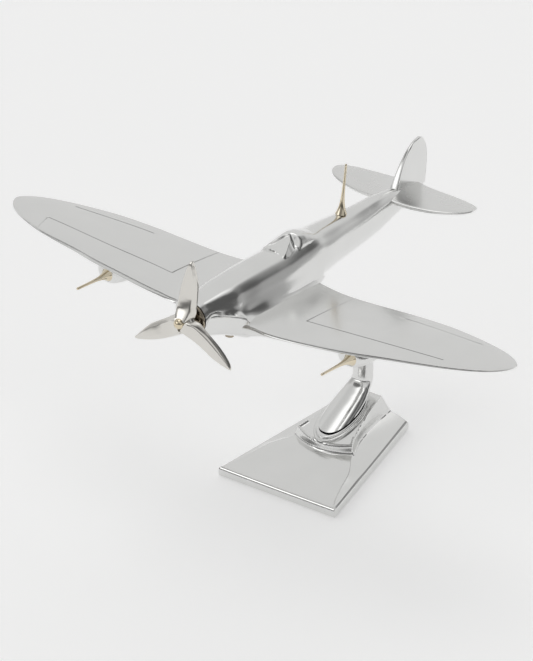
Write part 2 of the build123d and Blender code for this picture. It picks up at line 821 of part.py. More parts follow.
disc_front = hub_rear + end_gap + washer_thickness
with BuildPart() as nose_disc:
    with BuildSketch(cross_plane(nose_y, shaft_z)):
        Circle(disc_radius - 2.4)
    extrude(amount=nose_y - disc_front)
    with BuildSketch(cross_plane(disc_front + disc_thickness, shaft_z)):
        Circle(disc_radius)
    extrude(amount=disc_thickness)
    with BuildSketch(cross_plane(0, shaft_z)):
        Circle(shaft_radius)
    extrude(amount=90, mode=Mode.SUBTRACT)
nose_disc.part.label = "nose_disc"
nose_disc.part.location = pose
export_step(nose_disc.part, "parts/nose_disc.step")

nut_rear = hub_front - end_gap - washer_thickness
nut_height = 5.6
nut_bore = 3.5
dome_centre = (nut_height ** 2 - nut_radius ** 2 - nut_flange ** 2) / (2 * (nut_height - nut_flange))
dome_radius = nut_height - dome_centre
with BuildPart() as prop_shaft:
    with BuildSketch(cross_plane(shaft_rear, shaft_z)):
        Circle(shaft_radius)
    extrude(amount=shaft_rear - nut_rear + nut_bore)
prop_shaft.part.label = "prop_shaft"
prop_shaft.part.location = pose
export_step(prop_shaft.part, "parts/prop_shaft.step")

with BuildPart() as dome_nut:
    with BuildSketch(Plane(origin=(0, nut_rear, shaft_z), x_dir=(1, 0, 0), z_dir=(0, 0, -1))):
        with BuildLine():
            Polyline(
                (0, nut_height),
                (0, nut_bore),
                (shaft_radius, nut_bore),
                (shaft_radius, 0),
                (nut_radius, 0),
                (nut_radius, nut_flange),
            )
            ThreePointArc(
                (nut_radius, nut_flange),
                (dome_radius * sin(radians(45)), dome_centre + dome_radius * cos(radians(45))),
                (0, nut_height),
            )
        make_face()
    revolve(axis=Axis((0, nut_rear, shaft_z), (0, 1, 0)))
dome_nut.part.label = "dome_nut"
dome_nut.part.location = pose
export_step(dome_nut.part, "parts/dome_nut.step")
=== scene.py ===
import json
from math import atan2, cos, pi, radians, sin, sqrt, tan

import bpy
import numpy as np
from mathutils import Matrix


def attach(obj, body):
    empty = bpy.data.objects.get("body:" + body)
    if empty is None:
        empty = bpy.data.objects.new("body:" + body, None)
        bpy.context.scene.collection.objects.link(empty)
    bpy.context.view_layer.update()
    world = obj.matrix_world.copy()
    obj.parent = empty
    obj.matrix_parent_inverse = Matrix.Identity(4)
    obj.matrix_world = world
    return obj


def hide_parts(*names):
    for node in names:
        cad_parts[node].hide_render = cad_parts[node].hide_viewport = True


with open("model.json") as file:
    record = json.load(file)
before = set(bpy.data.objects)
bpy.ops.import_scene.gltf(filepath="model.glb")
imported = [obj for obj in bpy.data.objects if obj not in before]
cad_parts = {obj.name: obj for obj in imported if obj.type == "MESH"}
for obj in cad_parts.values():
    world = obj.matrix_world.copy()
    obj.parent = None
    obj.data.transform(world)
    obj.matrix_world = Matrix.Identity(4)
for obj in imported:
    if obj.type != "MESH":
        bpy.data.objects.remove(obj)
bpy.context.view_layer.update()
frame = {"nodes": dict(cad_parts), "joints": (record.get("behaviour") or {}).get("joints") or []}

MM = 0.001

# The aircraft is described level in millimetres, x to port, y aft, z up, then tilted nose-up.
# The propeller's joint gives the tilt and, with the hub's place on the aircraft, the origin.
PROP_Y, SHAFT_Z = -73.7, 21.3
spin = frame["joints"][0]
CLIMB = atan2(spin["axis"][2], -spin["axis"][1])
HUB_Y, HUB_Z = spin["pos_m"][1] / MM, spin["pos_m"][2] / MM
ORIGIN_Y = HUB_Y - PROP_Y * cos(CLIMB) - SHAFT_Z * sin(CLIMB)
ORIGIN_Z = HUB_Z + PROP_Y * sin(CLIMB) - SHAFT_Z * cos(CLIMB)
WING_Z = 14.0
DIHEDRAL = 0.0574
NOSE_Y = -64.5


def aloft(points):
    """Aircraft millimetres to row metres."""
    p = np.asarray(points, float)
    out = np.empty_like(p)
    out[..., 0] = p[..., 0]
    out[..., 1] = ORIGIN_Y + p[..., 1] * cos(CLIMB) + p[..., 2] * sin(CLIMB)
    out[..., 2] = ORIGIN_Z - p[..., 1] * sin(CLIMB) + p[..., 2] * cos(CLIMB)
    return out * MM


def grounded(points):
    """Stand millimetres to row metres."""
    return np.asarray(points, float) * MM


# ---------------------------------------------------------------- curves
def step(low, high, value):
    """Smooth rise from 0 at low to 1 at high."""
    t = np.clip((value - low) / (high - low), 0, 1)
    return t * t * (3 - 2 * t)


def running(steps):
    """Distance along a path at each of its points, from the lengths of its steps."""
    return np.concatenate([[0], np.cumsum(steps)])


def hermite(knots, points, slopes, at):
    """Cubic pieces through the points at the knots, with the given slopes."""
    i = np.clip(np.searchsorted(knots, at, side="right") - 1, 0, len(knots) - 2)
    h = (knots[i + 1] - knots[i])[..., None]
    t = (at - knots[i])[..., None] / h
    return ((2 * t**3 - 3 * t**2 + 1) * points[i] + (t**3 - 2 * t**2 + t) * h * slopes[i]
            + (-2 * t**3 + 3 * t**2) * points[i + 1] + (t**3 - t**2) * h * slopes[i + 1])


def through(xs, ys, at):
    """A smooth monotone curve through the points (xs, ys); ys may have several columns."""
    xs, ys, at = np.asarray(xs, float), np.asarray(ys, float), np.asarray(at, float)
    flat = ys.reshape(len(xs), -1)
    w = np.diff(xs)[:, None]
    d = np.diff(flat, axis=0) / w
    slopes = np.zeros_like(flat)
    slopes[0], slopes[-1] = d[0], d[-1]
    same_way = d[:-1] * d[1:] > 0
    w1, w2 = 2 * w[1:] + w[:-1], w[1:] + 2 * w[:-1]
    with np.errstate(divide="ignore", invalid="ignore"):
        slopes[1:-1] = np.where(same_way, (w1 + w2) / (w1 / d[:-1] + w2 / d[1:]), 0.0)
    return hermite(xs, flat, slopes, at).reshape(at.shape + ys.shape[1:])


def along(table, at):
    """The second column of a two-column table, at one place in its first."""
    return float(through(*zip(*table), at))


def columns(table, at):
    """The later columns of a table, at many places in its first."""
    return through([row[0] for row in table], [row[1:] for row in table], at)


def flowing(points, count):
    """count points on a Catmull-Rom curve through the points."""
    p = np.asarray(points, float)
    at = running(np.sqrt(np.linalg.norm(np.diff(p, axis=0), axis=1)))
    return hermite(at, p, np.gradient(p, at, axis=0), np.linspace(0, at[-1], count))


def round_end(count, power=2.0):
    """Shares from 0 to 1 that crowd together towards 1, for a rounded tip."""
    return 1 - np.linspace(1, 0, count) ** power


def both_sides(half):
    """Stations across the centre line from the stations of one side."""
    return np.concatenate([-half[::-1][:-1], half])


# ---------------------------------------------------------------- mesh helpers
def piece(name, verts, faces, material, slot, nodes, sharp, body="root"):
    """One visible piece: edges sharper than the given angle stay crisp."""
    mesh = bpy.data.meshes.new(name)
    mesh.from_pydata([tuple(v) for v in verts], [], faces)
    mesh.update()
    mesh.polygons.foreach_set("use_smooth", [True] * len(mesh.polygons))
    mesh.set_sharp_from_angle(angle=radians(sharp))
    obj = bpy.data.objects.new(name, mesh)
    bpy.context.scene.collection.objects.link(obj)
    mesh.materials.append(material)
    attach(obj, body)
    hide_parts(*nodes)
    return obj


def grid(p, wrap=False, ends=(False, False), flip=False):
    """Vertices and quads of the grid p[i, j]; wrap closes j, ends closes the first and last rows."""
    n, m = p.shape[:2]
    verts = p.reshape(-1, 3)
    faces = []
    for i in range(n - 1):
        for j in range(m if wrap else m - 1):
            k = (j + 1) % m
            quad = [i * m + j, i * m + k, (i + 1) * m + k, (i + 1) * m + j]
            faces.append(quad[::-1] if flip else quad)
    for end, row in ((ends[0], 0), (ends[1], n - 1)):
        if end:
            centre = len(verts)
            verts = np.vstack([verts, p[row].mean(axis=0)[None]])
            for j in range(m if wrap else m - 1):
                k = (j + 1) % m
                tri = [row * m + k, row * m + j, centre]
                if (row != 0) != flip:
                    tri = tri[::-1]
                faces.append(tri)
    return verts, faces


def merged(*parts):
    verts, faces, base = [], [], 0
    for v, f in parts:
        verts.append(np.asarray(v, float))
        faces += [[k + base for k in face] for face in f]
        base += len(v)
    return np.vstack(verts), faces


def mirrored(part):
    v, f = part
    return v * np.array([-1, 1, 1]), [face[::-1] for face in f]


def circle(count):
    return np.linspace(0, 2 * pi, count, endpoint=False)


def turned(outline, segments=72):
    """Lathe about the z axis of (radius, height) rows."""
    rows = np.array([[(r * cos(a), r * sin(a), h) for a in circle(segments)] for r, h in outline])
    return grid(rows, wrap=True, ends=(outline[0][0] > 1e-6, outline[-1][0] > 1e-6))


def laid(part, origin, forward=False):
    """Puts a lathed part on the aircraft, standing, or lying with its height forward."""
    v, f = part
    x, y, z = v[:, 0], v[:, 1], v[:, 2]
    if forward:
        placed = np.c_[x + origin[0], -z + origin[1], y + origin[2]]
    else:
        placed = np.c_[x + origin[0], y + origin[1], z + origin[2]]
    return aloft(placed), f


# ---------------------------------------------------------------- materials
CLOUD_SCALE, WAVE_SCALE, SCRATCH_SCALE, FIBRE_SCALE = 34.0, 22.0, 900.0, 1400.0
SCRATCH_STRETCH = (1.0, 0.06, 1.0)
FELT_DARK, FELT_LIGHT = (0.010, 0.010, 0.011), (0.045, 0.045, 0.047)
FELT_RELIEF = 0.3
PATCH_SHADE = 0.93       # how much darker the clouded patches of a metal are, where no tint is given


def blank_material(name):
    """A new material: its node tree, its shader and its object coordinates."""
    mat = bpy.data.materials.new(name)
    mat.use_nodes = True
    nt = mat.node_tree
    return mat, nt, nt.nodes["Principled BSDF"], nt.nodes.new("ShaderNodeTexCoord").outputs["Object"]


def noise(nt, vector, scale, detail):
    node = nt.nodes.new("ShaderNodeTexNoise")
    node.inputs["Scale"].default_value = scale
    node.inputs["Detail"].default_value = detail
    nt.links.new(vector, node.inputs["Vector"])
    return node.outputs["Fac"]


def colour_mix(nt, share, first, second, target):
    mix = nt.nodes.new("ShaderNodeMixRGB")
    mix.inputs["Color1"].default_value = (*first, 1)
    mix.inputs["Color2"].default_value = (*second, 1)
    nt.links.new(share, mix.inputs["Fac"])
    nt.links.new(mix.outputs["Color"], target)


def relief(nt, height, depth):
    """A bump node whose full height is depth, in millimetres."""
    bump = nt.nodes.new("ShaderNodeBump")
    bump.inputs["Strength"].default_value = 1.0
    bump.inputs["Distance"].default_value = depth * MM
    nt.links.new(height, bump.inputs["Height"])
    return bump


def metal(name, colour, rough, rough_spread=0.05, wave=0.0, scratch=0.0, tint=None):
    """Polished metal with uneven gloss, faint waves of hand polishing and fine scratches."""
    mat, nt, shader, place = blank_material(name)
    shader.inputs["Metallic"].default_value = 1.0
    cloud = noise(nt, place, CLOUD_SCALE, 3.0)
    gloss = nt.nodes.new("ShaderNodeMapRange")
    gloss.inputs["To Min"].default_value = rough - rough_spread
    gloss.inputs["To Max"].default_value = rough + rough_spread
    nt.links.new(cloud, gloss.inputs["Value"])
    nt.links.new(gloss.outputs["Result"], shader.inputs["Roughness"])
    colour_mix(nt, cloud, colour, tint or [c * PATCH_SHADE for c in colour], shader.inputs["Base Color"])
    waves = relief(nt, noise(nt, place, WAVE_SCALE, 1.0), wave)
    stretch = nt.nodes.new("ShaderNodeMapping")
    stretch.inputs["Scale"].default_value = SCRATCH_STRETCH
    nt.links.new(place, stretch.inputs["Vector"])
    scratches = relief(nt, noise(nt, stretch.outputs["Vector"], SCRATCH_SCALE, 2.0), scratch)
    nt.links.new(waves.outputs["Normal"], scratches.inputs["Normal"])
    nt.links.new(scratches.outputs["Normal"], shader.inputs["Normal"])
    return mat


def felt_material():
    mat, nt, shader, place = blank_material("black_felt")
    shader.inputs["Roughness"].default_value = 0.95
    fibre = noise(nt, place, FIBRE_SCALE, 4.0)
    colour_mix(nt, fibre, FELT_DARK, FELT_LIGHT, shader.inputs["Base Color"])
    nt.links.new(relief(nt, fibre, FELT_RELIEF).outputs["Normal"], shader.inputs["Normal"])
    return mat


ALUMINIUM = (0.80, 0.80, 0.79)
WING_METAL = metal("polished_wing", ALUMINIUM, 0.20, 0.04, wave=0.05, scratch=0.004)
TAIL_METAL = metal("satin_tailplane", ALUMINIUM, 0.27, 0.04, wave=0.05, scratch=0.004)
BODY_METAL = metal("polished_body", ALUMINIUM, 0.17, 0.04, wave=0.05, scratch=0.004)
STAND_METAL = metal("polished_stand", ALUMINIUM, 0.14, 0.04, wave=0.05, scratch=0.003)
PROP_METAL = metal("warm_propeller", (0.76, 0.74, 0.70), 0.16, 0.04, wave=0.04, scratch=0.004)
BRASS = metal("worn_brass", (0.72, 0.61, 0.42), 0.12, 0.04, tint=(0.78, 0.72, 0.60))
STEEL = metal("fastener_steel", (0.62, 0.62, 0.61), 0.30, 0.06, scratch=0.01)
DISC_METAL = metal("bronzed_disc", (0.40, 0.35, 0.28), 0.20, 0.05)
FELT = felt_material()

# ---------------------------------------------------------------- camera
AZIMUTH, ELEVATION = radians(34.046), radians(31.019)
cam_data = bpy.data.cameras.new("camera")
cam_data.lens = 213.25
cam_data.sensor_width = 36.0
cam_data.clip_start, cam_data.clip_end = 0.1, 60.0
camera = bpy.data.objects.new("camera", cam_data)
camera.location = (1.51555, -2.33248, 1.79668)
camera.rotation_euler = (pi / 2 - ELEVATION, 0, AZIMUTH)
bpy.context.scene.collection.objects.link(camera)
bpy.context.scene.camera = camera

# ---------------------------------------------------------------- wing
LEADING = [(0, -36), (34.6, -33.4), (50, -36.6), (61.6, -37.2), (75, -36.6), (88, -35.2), (110, -32.0),
           (129, -27.6), (147, -22.0), (170, -16.0), (191, -9.9), (205, -4.8), (217, 0.6), (226, 6.0),
           (233, 12.0), (237.6, 18.6), (240, 27)]
TRAILING = [(0, 84), (23.4, 82), (33.3, 78.6), (52.8, 72.8), (68.4, 70.6), (90, 69.8), (120.5, 69.6),
            (146, 68.0), (159, 66.4), (180, 61.6), (203, 54.4), (219, 47.6), (230, 40.6), (237, 33.6),
            (240, 27)]
# Height of the front face; near the root the starboard one is lower.
FACE = [(0, 8.4), (35, 8.4), (46, 5.0), (56, 3.2), (80, 2.8), (130, 2.6), (190, 2.0), (225, 1.5),
        (240, 0.9)]
FACE_STARBOARD = [(0, 8.4), (30, 8.4), (36, 4.6), (46, 3.0), (80, 2.6), (130, 2.5), (190, 2.0),
                  (225, 1.5), (240, 0.9)]
# On the starboard wing the crease over the front face runs further aft, and the edge follows it.
CREASE_SHIFT = [(0, 0), (30, 0), (37.4, 2.6), (60, 7.8), (98, 9.2), (130, 7.0), (165, 3.0), (190, 0),
                (240, 0)]
CREASE_FOLLOW = 0.82
# Engraved lines: two along the span, one along the chord, and a short tick at the outer end.
SPAN_CUT = [(0, -0.5), (67, -0.5), (190, 1.0), (240, 1.6)]
SPAN_CUT_STARBOARD = [(0, 1.5), (60, 2.8), (90, 5.2), (120, 6.5), (197, 12.0), (240, 13.0)]
AILERON_CUT = [(0, 59.0), (119.8, 57.1), (196.2, 49.3), (240, 45.0)]
PORT_TICK, STARBOARD_TICK = (190.6, 190.6), (192.5, 197.5)
ROOT_CUT, AILERON_SPAN = 66.0, (119.0, 197.0)
GROOVE, TICK_HALF, CUT_DEPTH = 0.5, 0.6, 0.6       # half widths of the lines and of the tick, depth
# Shares of the chord where the upper side has its points, and how many lie between the lines.
FRONT_STOPS = [0, 0.004, 0.012, 0.025, 0.045, 0.075, 0.11]
BEFORE_SPAN, BETWEEN_CUTS, BEHIND_CUTS, LOWER_POINTS = 6, 18, 7, 30
NEAR_RANGE, FAR_RANGE = (0.16, 0.45), (0.55, 0.93)
WING_TIP = 239.55


def edge(table, x):
    """The edge line at x, rounded at the tip by running it in the square root of the distance from there."""
    rows = np.array(table, float)
    tip = rows[-1, 0]
    return float(through(-np.sqrt(tip - rows[:, 0]), rows[:, 1], -np.sqrt(max(tip - abs(x), 0))))


def held(value, limits):
    return min(max(value, limits[0]), limits[1])


def wing_section(x):
    """Closed outline of the wing at x: upper side with its engraved lines, lower side, front face."""
    ax, starboard = abs(x), x <= 0
    outer, rear = edge(LEADING, x), edge(TRAILING, x)
    shift = along(CREASE_SHIFT, ax) if starboard else 0.0
    front = outer + min(shift, 0.3 * (rear - outer))
    outer += CREASE_FOLLOW * (front - outer)
    chord = max(rear - front, 0.2)
    face = along(FACE, ax)
    if starboard:
        face = min(face, along(FACE_STARBOARD, ax))
    datum = WING_Z + DIHEDRAL * ax

    near = held((along(SPAN_CUT_STARBOARD if starboard else SPAN_CUT, ax) - front) / chord, NEAR_RANGE)
    far = held((along(AILERON_CUT, ax) - front) / chord, FAR_RANGE)
    g = min(GROOVE / chord, 0.02)
    u = np.concatenate([
        FRONT_STOPS, np.linspace(FRONT_STOPS[-1], near - 2 * g, BEFORE_SPAN)[1:], [near - g, near, near + g],
        np.linspace(near + 2 * g, far - 2 * g, BETWEEN_CUTS), [far - g, far, far + g],
        np.linspace(far + 2 * g, 1, BEHIND_CUTS)])
    at_near = len(FRONT_STOPS) + BEFORE_SPAN
    at_far = at_near + BETWEEN_CUTS + 3
    rise = 0.030 * chord + 0.25
    up = datum + rise * 2.05 * u**0.62 * (1 - u) ** 0.95
    tick = STARBOARD_TICK if starboard else PORT_TICK
    if ROOT_CUT <= ax <= max(tick):
        up[at_near] -= CUT_DEPTH
    if AILERON_SPAN[0] <= ax <= AILERON_SPAN[1]:
        up[at_far] -= CUT_DEPTH
    if abs(ax - ROOT_CUT) < 0.05:
        up[at_near:-1] -= CUT_DEPTH
    at_y = front + u * chord
    if min(tick) - 0.05 <= ax <= max(tick) + 0.05:
        where = tick[0] + (tick[1] - tick[0]) * (at_y - front) / max(near * chord, 1)
        cut = CUT_DEPTH * np.maximum(0, 1 - (np.abs(ax - where) / TICK_HALF) ** 2)
        up[1:at_near] -= cut[1:at_near]

    w = (1 - np.cos(np.linspace(0, pi, LOWER_POINTS)))[1:][::-1] / 2
    chord_low = rear - outer
    drop = 0.35 * (front - outer)
    tail = min(0.9, 0.35 * face + 0.15)
    down = datum - drop - face * (1 - w) ** 0.75 - (tail - drop) * w - 0.022 * chord_low * 4 * w * (1 - w)
    lower_y = outer + w * chord_low + 0.9 * (1 - w) * min(1, face / 3)

    bulge, lip = min(0.9, 0.25 * face), min(1.0, 0.42 * face)
    nose = [(outer + 0.55 * bulge, datum - drop - 0.97 * face),
            (outer - 0.55 * bulge, datum - drop - 0.88 * face),
            (outer - bulge, datum - drop - 0.66 * face)]
    for t in (0.3, 0.65, 0.95):
        nose.append((outer - bulge * (1 - 0.5 * t) + (front - outer) * t,
                     datum - drop * (1 - t) - lip - 0.2 * face * (1 - t)))
    nose += [(front - 0.22, datum - lip), (front - 0.12, datum - 0.45 * lip)]
    return np.vstack([np.c_[at_y, up], np.c_[lower_y, down], nose])


def wing():
    root_cut = [ROOT_CUT + d for d in (-1.1, -0.55, 0, 0.55, 1.1)]
    outer_part = 202 + (WING_TIP - 202) * round_end(34)
    half = np.concatenate([
        np.linspace(0, 60, 16), root_cut, np.linspace(70, 187, 48), np.arange(188, 200.1, 0.6), outer_part])
    p = np.array([[(x, y, z) for y, z in wing_section(x)] for x in both_sides(half)])
    return grid(aloft(p), wrap=True, ends=(True, True))


# The lower nose: its top edge, the foot of its wall and the middle of its underside, from the nose aft.
LIP = [(9.6, -64.5, 26.0), (12.6, -60, 25.6), (15.6, -53, 25.2), (18.8, -46, 24.2), (23.2, -39, 23.0),
       (27.4, -34.6, 22.4), (30.2, -32.8, 21.8), (31.8, -32.3, 20.2), (33.6, -32.8, 17.8),
       (35.2, -33.6, 15.6)]
FOOT = [(10.5, -64.5, 12.6), (13.2, -59, 10.6), (15.6, -52, 9.2), (18.0, -45.4, 8.2), (21.6, -39.2, 7.4),
        (25.6, -34.9, 7.0), (29.4, -32.6, 6.9), (32.0, -32.1, 7.0), (33.8, -32.3, 7.2), (35.4, -32.9, 7.4)]
BELLY = [(0, -64.5, 7.7), (0, -59, 5.6), (0, -52, 4.0), (0, -45, 2.6), (0, -38, 1.2), (0, -31, -0.4),
         (0, -24, -2.2), (0, -16, -4.2), (0, -8, -6.0), (0, 0, -7.4)]
CHIN_ROWS = 60
CHIN_BOW = np.array([0.5, -0.5, 0])
# The belly behind it: y, half width, bottom.
BELLY_TABLE = [(-26, 17, 0.5), (-20, 19, -1.8), (-8, 22, -5.4), (0, 23, -7.4), (20, 23.6, -9.4),
               (40, 23, -8.4), (60, 22, -5.6), (80, 20.6, -1.4), (100, 19, 3.6)]
BELLY_TOP = 15.0
# Boss that the front wing screw's head sits on: radius and height.
SCREW_BOSS = [(4.7, -9.05), (5.0, -8.7), (5.3, -7.6), (6.2, -6.2), (7.6, -4.0)]
SCREW_BOSS_Y = -7.0


def chin():
    """The lower nose: a wall that flares from the nose to the leading edge, and rolls under to the belly."""
    rows = []
    for lip, foot, low in zip(flowing(LIP, CHIN_ROWS), flowing(FOOT, CHIN_ROWS), flowing(BELLY, CHIN_ROWS)):
        inward = np.array([-0.35 * lip[0], 0.15 * (low[1] - lip[1]), -0.4])
        wall = foot - lip
        row = [lip + inward, lip + inward * 0.15 + (0, 0, 0.15), lip + (-0.5, 0.45, 0.0), lip + (0, 0, -0.35),
               lip + 0.06 * wall + 0.5 * CHIN_BOW]
        for t in np.linspace(0.14, 0.92, 8):
            row.append(lip + t * wall + CHIN_BOW * (2.8 * t * (1 - t) + 0.4))
        for t in np.linspace(0, 1, 12):
            sag = 0.09 * np.linalg.norm(foot - low) * sin(pi * t) * (1 - 0.6 * t)
            row.append(foot * (1 - t) + low * t - (0, 0, sag))
        rows.append(row)
    half = grid(aloft(np.array(rows)))
    return merged(half, mirrored(half))


def belly():
    """The lower half of the hull under the wing."""
    ys = np.linspace(BELLY_TABLE[0][0], BELLY_TABLE[-1][0], 58)
    rows = [[(half * cos(a), y, BELLY_TOP - (BELLY_TOP - bottom) * sin(a)) for a in np.linspace(0, pi, 40)]
            for y, (half, bottom) in zip(ys, columns(BELLY_TABLE, ys))]
    return grid(aloft(np.array(rows)))


boss = laid(turned(SCREW_BOSS, 40), (0, SCREW_BOSS_Y, 0))
piece("wing_casting_skin", *merged(wing(), chin(), belly(), boss), WING_METAL, "airframe_metal",
      nodes=("wing_casting",), sharp=34)

# ---------------------------------------------------------------- fuselage
RING = [90, 66, 44, 24, 6, -12, -30, -48, -70, -90]


def ring(half, bottom, top):
    """Points of an oval section's port half, from its top to its bottom."""
    centre, tall = (bottom + top) / 2, (top - bottom) / 2
    return [(half * cos(radians(a)), centre + tall * sin(radians(a))) for a in RING]


# Sections of the hull's port half by y: ten points (x, z) from the spine down to the keel.
SECTIONS = {
    NOSE_Y: ring(13.6, 7.7, 34.9),
    -60.0: [(0, 36.0), (6.8, 35.0), (11.2, 31.4), (13.2, 27.8), (13.6, 25.2), (13.4, 22.6), (13.0, 20),
            (12, 16), (7, 11), (0, 9)],
    -46.0: [(0, 38.4), (8.2, 37.2), (13.4, 33.2), (16.2, 28.6), (17.2, 25.8), (17.9, 24.0), (18.4, 22.6),
            (17, 18), (9, 12), (0, 10)],
    -39.0: [(0, 39.6), (8.8, 38.3), (14.4, 34.2), (17.6, 29.0), (19.4, 25.6), (21.4, 23.6), (23.0, 22.0),
            (21, 17), (10, 12), (0, 10)],
    -33.5: [(0, 40.4), (9.2, 39.1), (15.1, 34.9), (18.6, 29.2), (20.8, 25.2), (24.2, 22.8), (28.6, 21.4),
            (29, 16), (12, 12), (0, 10)],
    -27.0: [(0, 41.0), (9.5, 39.8), (15.7, 35.4), (19.2, 29.8), (21.4, 24.8), (24.6, 20.8), (29.6, 17.8),
            (33.4, 15.3), (14, 12), (0, 10)],
    -18.0: [(0, 41.8), (9.6, 40.6), (15.4, 36.2), (18.8, 30.9), (21.8, 25.7), (24.8, 20.9), (29.0, 17.7),
            (33.8, 15.3), (14, 12), (0, 10)],
    5.0: [(0, 43.6), (9.8, 42.2), (15.8, 37.8), (19.4, 32.4), (22.4, 27.0), (25.6, 22.2), (28.6, 18.6),
          (33.0, 15.6), (14, 12), (0, 10)],
    30.0: [(0, 44.7), (9.9, 43.2), (15.9, 38.7), (19.5, 33.1), (22.3, 27.6), (25.0, 22.6), (27.2, 18.8),
           (31.0, 15.6), (14, 12), (0, 10)],
    50.0: [(0, 45.4), (9.9, 43.8), (15.8, 39.3), (19.3, 33.7), (21.7, 28.0), (24.0, 22.8), (25.6, 18.8),
           (28.6, 15.4), (13, 12), (0, 10)],
    75.0: [(0, 47.6), (9.5, 46.2), (15.0, 41.6), (18.4, 35.6), (20.6, 29.2), (22.2, 23.6), (23.6, 18.8),
           (26.4, 15.0), (13, 11), (0, 9)],
    92.0: [(0, 49.2), (8.9, 47.9), (14.9, 43.0), (18.2, 36.6), (19.9, 30.0), (20.6, 23.6), (21.2, 18.0),
           (21.8, 13.6), (12, 7), (0, 5)],
    104.0: ring(19.4, 6.0, 49.8),
    130.0: ring(17.2, 9.6, 49.6),
    155.0: ring(15.0, 12.2, 49.2),
    180.0: ring(12.9, 14.8, 49.8),
    200.0: ring(11.2, 17.6, 50.4),
    220.0: ring(9.0, 22.4, 49.6),
    244.0: ring(5.8, 27.6, 46.2),
    262.0: ring(3.6, 32.0, 44.2),
    275.0: ring(1.9, 35.6, 42.0),
}

# Cockpit bubble above the cowl: y, height, half width.
CANOPY = [(46, 0.0, 12.2), (47.5, 1.6, 12.2), (50, 3.4, 12.2), (54, 5.2, 12.2), (60, 6.6, 12.2),
          (66, 7.3, 12.2), (72, 7.6, 12.2), (78, 6.9, 12.2), (84, 5.2, 12.0), (90, 2.9, 11.8),
          (96, 0.9, 11.4), (102, 0.0, 11)]
CANOPY_Z, CANOPY_HALF = 36, 12          # the bubble is added to the hull's points above and within these
# The windscreen is a flat pane: its height at PANE_Y, its slope, its rear end, and its two side edges (y, x).
PANE_Z, PANE_Y, PANE_RISE, PANE_TOP, PANE_SWEEP = 44.7, 47.6, 0.43, 68.0, 0.14
PANE_STARBOARD = [(44, -12.4), (49.5, -11.3), (53, -8.2), (56.4, -5.4), (61.5, -3.0), (65.6, -1.4),
                  (68, 0.4)]
PANE_PORT = [(44, 11.8), (50, 9.7), (56.6, 7.2), (63.2, 4.6), (66, 2.6), (68, 0.4)]
PANE_BEVEL, BEVEL_FADE = 1.3, (66, 73)  # slope of the surface outside the port edge, and where it fades out
PANE_SOFT = 0.3                         # half width of the soft step at the pane's edges
RIM_DEPTH, RIM_WIDTH, RIM_FADE = 0.5, 0.45, 4


def canopy(x, y, z):
    """Height added to the cowl by the bubble, its flat windscreen, the bevel to port and the rim's groove."""
    lift, wide = columns(CANOPY, y)
    surface = z + lift * max(0.0, 1 - (x / wide) ** 2) ** 0.55
    if y < BEVEL_FADE[1] + 1:
        left, right = along(PANE_STARBOARD, y), along(PANE_PORT, y)
        pane = PANE_Z + PANE_RISE * (y - PANE_Y)
        bevel = max(z, min(surface, pane + 0.2 - PANE_BEVEL * (x - right)))
        if x > right - 1:
            surface += (bevel - surface) * (1 - step(*BEVEL_FADE, y))
        foot = PANE_Y - PANE_SWEEP * x
        inside = step(left - PANE_SOFT, left + PANE_SOFT, x) * step(right + PANE_SOFT, right - PANE_SOFT, x)
        inside *= step(foot - 0.5, foot + PANE_SOFT, y) * step(PANE_TOP + PANE_SOFT, PANE_TOP - PANE_SOFT, y)
        surface += (pane - surface) * inside
        if z + lift > pane - 2 and foot < y < PANE_TOP:
            groove = np.exp(-((x - left + PANE_SOFT) / RIM_WIDTH) ** 2)
            surface -= RIM_DEPTH * groove * step(PANE_TOP, PANE_TOP - RIM_FADE, y)
    return surface - z


# Points of the hull's outline lie closest over this share of its half, from the spine down, for the canopy.
FINE_SHARE = 0.2
OVERLAP = 3              # points repeated at each end of the closed outline, so that its slopes meet


def fuselage():
    """The hull: a smooth closed outline through its section's points at each y."""
    ys = np.concatenate([
        np.linspace(NOSE_Y, 42, 70)[:-1], np.linspace(42, 100, 117)[:-1], np.linspace(100, 275, 70)])
    keys = sorted(SECTIONS)
    share = np.concatenate([np.linspace(0, FINE_SHARE, 46)[:-1], np.linspace(FINE_SHARE, 1, 62)])
    rows = []
    for y, points in zip(ys, through(keys, np.array([SECTIONS[k] for k in keys]), ys)):
        full = np.vstack([points, (points * [-1, 1])[-2:0:-1], points[:1]])
        closed = np.vstack([full[-OVERLAP - 1:-1], full, full[1:OVERLAP + 1]])
        at = running(np.linalg.norm(np.diff(closed, axis=0), axis=1))
        start, end = at[OVERLAP], at[-OVERLAP - 1]
        half = (end - start) / 2
        where = np.concatenate([start + half * share, end - half * share[::-1][1:-1]])
        row = []
        for x, z in hermite(at, closed, np.gradient(closed, at, axis=0), where):
            if CANOPY[0][0] < y < CANOPY[-1][0] and z > CANOPY_Z and abs(x) < CANOPY_HALF:
                z += canopy(x, y, z)
            row.append((x, y, z))
        rows.append(row)
    return grid(aloft(np.array(rows)), wrap=True, ends=(True, True), flip=True)


piece("fuselage_casting_skin", *fuselage(), BODY_METAL, "airframe_metal",
      nodes=("fuselage_casting",), sharp=50)

# ---------------------------------------------------------------- tailplane and fin
TAIL_HALF, TAIL_TIP, TAIL_Y, TAIL_Z = 69.0, 68.7, 248, 42.2
TAIL_DIHEDRAL = 0.028
TAIL_FILLET, FILLET_REACH = 3.6, 11     # rise of the tailplane towards the hull


